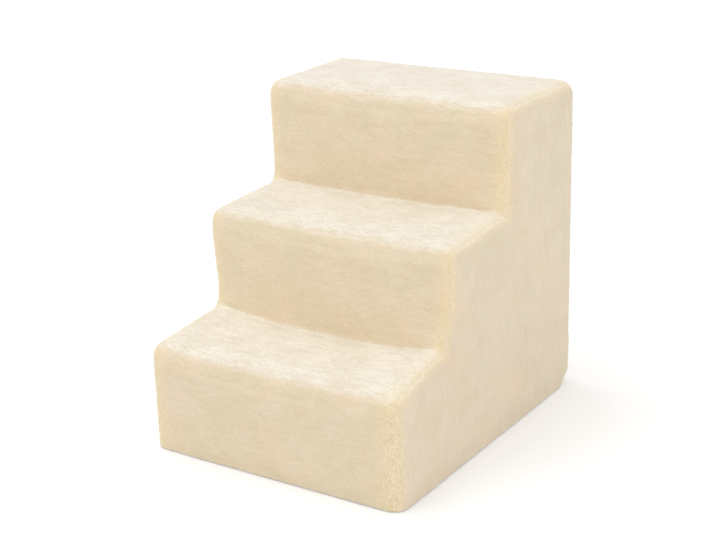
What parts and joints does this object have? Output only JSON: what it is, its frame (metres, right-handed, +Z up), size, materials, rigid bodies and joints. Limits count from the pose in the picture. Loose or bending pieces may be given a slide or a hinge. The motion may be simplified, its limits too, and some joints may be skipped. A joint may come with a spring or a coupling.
{
  "type": "pet stairs",
  "caption": "Soft foam stairs for small pets, with a zip-off cream plush cover and a dark non-slip base panel.",
  "frame": {"origin": "on the floor, under the middle of the stairs", "axes": "+Z up, +X across the steps to the climbing pet's right, +Y from the lowest step to the back"},
  "size_m": [0.4, 0.495, 0.459],
  "materials": {
    "foam": "open-cell foam",
    "liner": "thin nonwoven",
    "plush": "short cream plush pile",
    "grip_fabric": "dark grey fabric with rubber grip dots",
    "zip_tape": "woven polyester tape",
    "zip_teeth": "moulded satin plastic",
    "zip_metal": "cream enamelled die casting"
  },
  "bodies": {
    "stairs": {"foam_base_block": "foam", "foam_middle_block": "foam", "foam_top_block": "foam", "inner_liner": "liner", "step_strip": "plush", "side_panel_left": "plush", "side_panel_right": "plush", "back_panel_upper": "plush", "back_panel_lower": "plush", "base_panel": "grip_fabric", "zip_tape_upper": "zip_tape", "zip_tape_lower": "zip_tape", "zip_teeth_upper": "zip_teeth", "zip_teeth_lower": "zip_teeth", "zip_top_stops": "zip_teeth", "zip_bottom_stop": "zip_teeth"},
    "slider": {"zip_slider": "zip_metal"},
    "pull": {"zip_pull": "zip_metal"}
  },
  "joints": [
    {"name": "zip_slide", "type": "slide", "parent": "stairs", "child": "slider", "axis": [-1, 0, 0], "range_m": [0, 0.3281], "deforming": ["zip_teeth_upper", "zip_teeth_lower"]},
    {"name": "pull_swing", "type": "hinge", "parent": "slider", "child": "pull", "pos_m": [0.16834, 0.24555, 0.045], "axis": [0, 0, -1], "range_deg": [0, 160]}
  ]
}
